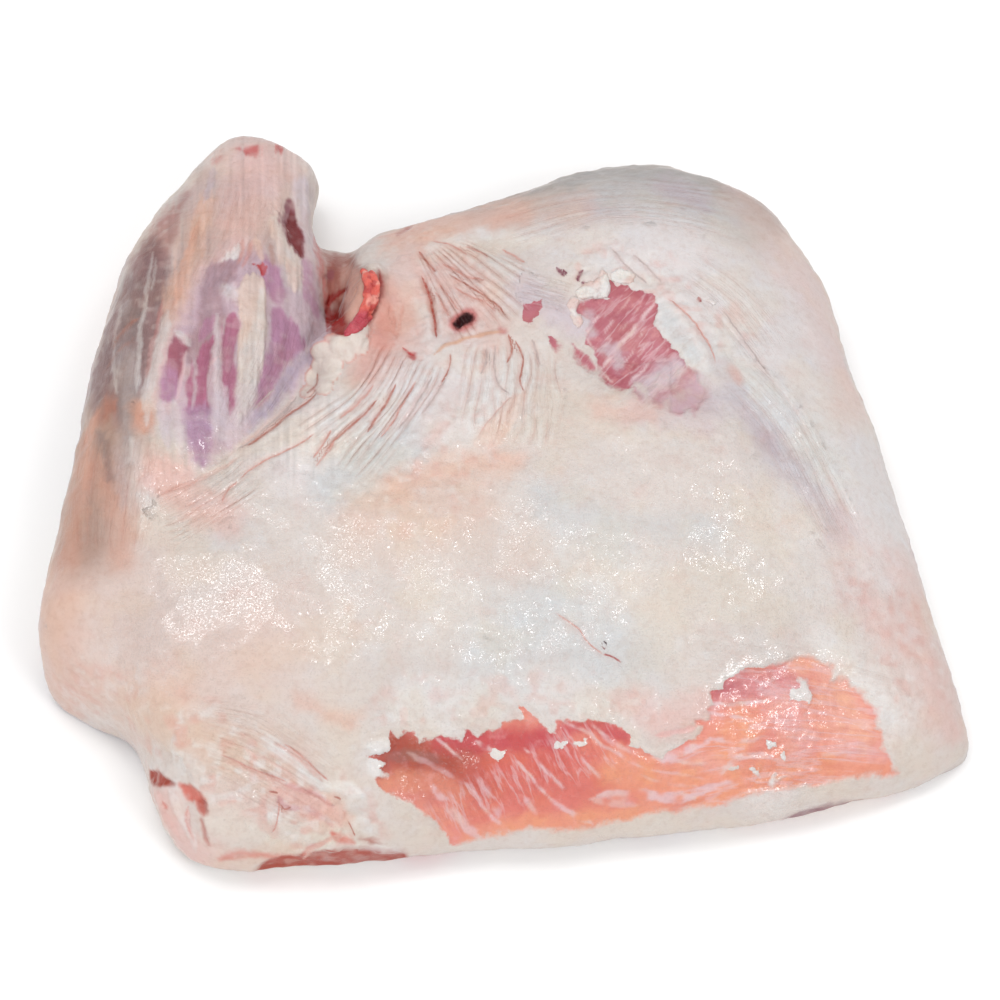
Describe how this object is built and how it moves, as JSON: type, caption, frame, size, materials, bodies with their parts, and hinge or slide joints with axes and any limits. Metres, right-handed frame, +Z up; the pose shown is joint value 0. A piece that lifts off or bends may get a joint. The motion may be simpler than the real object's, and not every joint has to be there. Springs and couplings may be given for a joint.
{
  "type": "raw lamb shoulder",
  "caption": "Whole raw lamb shoulder on the bone, with its foreshank folded along one side and the fat side up.",
  "frame": {"origin": "middle of the outline on the surface that the meat lies on", "axes": "+X from the elbow to the rib corner, +Y from the flank edge with the fat rim to the shank's wrist and the blade end, +Z up out of the fat side"},
  "size_m": [0.3116, 0.2832, 0.0602],
  "materials": {
    "meat": "moist pale fat with pink lean showing"
  },
  "bodies": {
    "root": {"lamb_shoulder": "meat"}
  },
  "joints": []
}
